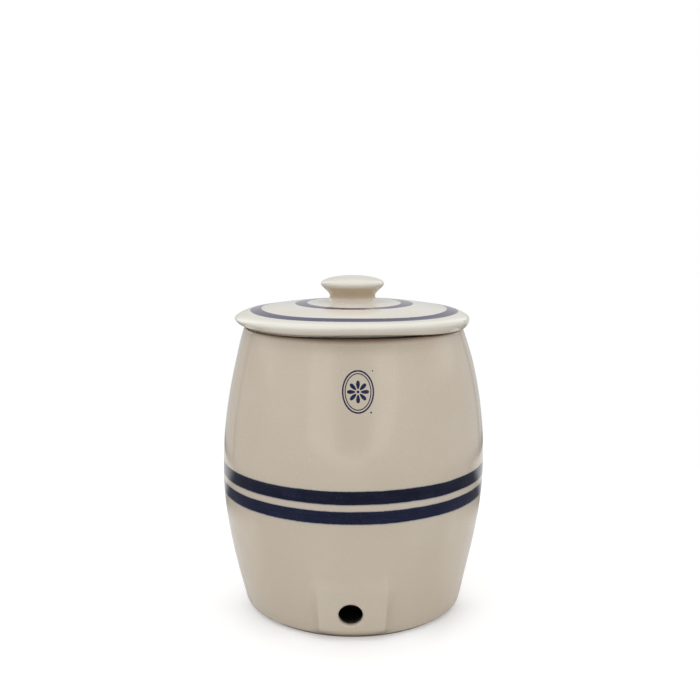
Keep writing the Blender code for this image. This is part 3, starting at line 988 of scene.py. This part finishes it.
studio = {
    "floorRadius": 0.62,
    "floorColour": (0.82, 0.82, 0.82, 1.0),
    "darkMirror": (0.12, 0.12, 0.12, 1.0),   # the glaze mirrors the table dark further off
    "paleMirror": (0.64, 0.64, 0.64, 1.0),   # and pale near the foot and far behind
    "seenColour": (0.65, 0.65, 0.65, 1.0),   # the camera sees the floor's shade from here
    "floorGlow": 0.33,
    "cameraPlace": (-0.00225, -0.8384, 0.3637),
    "cameraPitch": math.radians(90 - 8.88),
    "lens": 48.0,
    "sensor": 36.0,
    "lampPlace": (-0.15, -1.6, 1.4),
    "lampTarget": (0, 0, 0.15),
    "lampSize": (1.6, 1.0),
    "lampWatts": 4.0,
    "lowFill": 0.61,         # the light tent near the floor and overhead
    "highFill": 1.40,
    "seams": ((-129.5, -126.0), (142.0, 145.5)),   # dark joints in the tent, in degrees
}


def makeFloor():
    shape = bmesh.new()
    bmesh.ops.create_circle(shape, cap_ends=True, segments=96, radius=studio["floorRadius"])
    mesh = bpy.data.meshes.new("floor")
    shape.to_mesh(mesh)
    shape.free()
    floor = bpy.data.objects.new("floor", mesh)
    bpy.context.scene.collection.objects.link(floor)
    material, n, position = newMaterial("paleFloor")
    x, y, _ = n.split(position)
    away = (x * x + y * y) ** 0.5
    plain, dark, pale, soft = [n.add("ShaderNodeBsdfDiffuse", inputs={"Color": studio[colour]})
                               for colour in ("floorColour", "darkMirror", "paleMirror", "seenColour")]
    # the camera sees the contact shade, with painted light near the foot and behind it, and painted shade at
    # the sides, most at the right
    near = 1 - n.step(away, 0.093, 0.128)
    side = n.step(x.maths("ABSOLUTE"), 0.045, 0.085) * (x * 0.3 + 0.12) * n.step(y * -1.0, 0.0, 0.04)
    paintedLightBehind = n.step(y, -0.03, 0.03) * (1 - n.step(away, 0.10, 0.16)) * 0.06
    strength = near * (0.04 - side) + paintedLightBehind + studio["floorGlow"]
    glow = n.add("ShaderNodeEmission", inputs={"Color": (1, 1, 1, 1), "Strength": strength})
    seen = n.add("ShaderNodeAddShader", inputs={0: soft, 1: glow})
    # the glaze mirrors the table
    paleness = n.step(y, -0.12, -0.02) * (1 - n.step(away, 0.25, 0.35))
    paleness = paleness.maths("MAXIMUM", n.step(y, 0.21, 0.33))
    mirror = n.add("ShaderNodeMixShader", inputs={0: paleness, 1: dark, 2: pale})
    path = n.add("ShaderNodeLightPath", out="Is Camera Ray")
    unseen = n.add("ShaderNodeMixShader", inputs={0: n.sibling(path, "Is Glossy Ray"), 1: plain, 2: mirror})
    both = n.add("ShaderNodeMixShader", inputs={0: path, 1: unseen, 2: seen})
    n.add("ShaderNodeOutputMaterial", inputs={"Surface": both})
    mesh.materials.append(material)


def makeWorld():
    world = bpy.data.worlds.new("studioRoom")
    bpy.context.scene.world = world
    world.use_nodes = True
    world.node_tree.nodes.clear()
    n = Nodes(world.node_tree)
    seen = n.add("ShaderNodeLightPath", out="Is Camera Ray")     # camera rays see plain white
    mirrored = n.sibling(seen, "Is Glossy Ray")
    x, y, z = n.split(n.add("ShaderNodeTexCoord", out="Generated"))
    azimuth = x.maths("ARCTAN2", y * -1.0) * (180 / math.pi)     # 0 is behind the camera
    aside = azimuth.maths("ABSOLUTE")
    low = 1 - n.step(z, -0.16, 0.30)                             # the panels close in downwards
    point = 1 - n.step(z, -0.12, -0.02)                          # and meet in a point
    close = n.step(z, -0.175, -0.035)
    panels = n.band(azimuth, 20.0 - low * 6 - point * 19, (43.0 - low * 17) * close, 4.0)
    left = n.band(azimuth * -1.0, 20.0 - low * 5 - point * 19, (43.0 - low * 4) * close, 4.0)
    panels = panels.maths("MAXIMUM", left) * n.step(z, -0.17, -0.13)
    middle = (1 - n.step(aside, 7.0, 18.0)) * n.step(z, -0.12, -0.04)
    room = 0.45 + n.step(aside, 10.0, 44.0) * 0.15 + panels * 0.65 - middle * 0.36
    room = room + n.band(aside, 80.0, 115.0, 12.0) * n.band(z, 0.12, 0.30, 0.05) * 0.5
    duskTop = (1 - n.step(aside, 50.0, 80.0)) * 0.105 - 0.205    # it is dusky below, and higher up in front
    room = room * (1 - (1 - n.step(z, -0.235, duskTop)) * 0.7)
    room = room * (1 - n.step(z, 0.38, 0.46) * (1 - n.step(aside, 36.0, 52.0)) * 0.8)
    room = room + n.band(aside, 130.0, 158.0, 8.0) * n.step(z, 0.10, 0.20) * 0.7
    for start, end in studio["seams"]:
        room = room * (1 - n.band(azimuth, start, end, 1.0) * 0.7)
    room = room - n.step(aside, 160.0, 174.0) * n.step(z, 0.22, 0.36) * 0.12
    high = n.step(z, 0.55, 0.75)
    room = room * (1 - high) + high * 0.9
    fill = studio["lowFill"] + n.step(z, 0.0, 0.75) * (studio["highFill"] - studio["lowFill"])
    strength = fill * (1 - mirrored) + room * mirrored
    strength = strength * (1 - seen) + seen
    background = n.add("ShaderNodeBackground", inputs={"Color": (1, 1, 1, 1), "Strength": strength})
    n.add("ShaderNodeOutputWorld", inputs={"Surface": background})


def makeLamp():
    lamp = bpy.data.lights.new("front", "AREA")
    lamp.shape = "RECTANGLE"
    lamp.size, lamp.size_y = studio["lampSize"]
    lamp.energy = studio["lampWatts"]
    item = bpy.data.objects.new("front", lamp)
    item.location = studio["lampPlace"]
    towards = Vector(studio["lampTarget"]) - Vector(studio["lampPlace"])
    item.rotation_euler = towards.to_track_quat("-Z", "Y").to_euler()
    item.visible_glossy = False
    bpy.context.scene.collection.objects.link(item)


def makeCamera():
    data = bpy.data.cameras.new("camera")
    data.lens = studio["lens"]
    data.sensor_width = studio["sensor"]
    data.clip_start = 0.01
    camera = bpy.data.objects.new("camera", data)
    camera.location = studio["cameraPlace"]
    camera.rotation_euler = (studio["cameraPitch"], 0.0, 0.0)
    bpy.context.scene.collection.objects.link(camera)
    bpy.context.scene.camera = camera


makeFloor()
makeWorld()
makeLamp()
makeCamera()
bpy.context.scene.view_settings.view_transform = "Standard"
print("studio set")
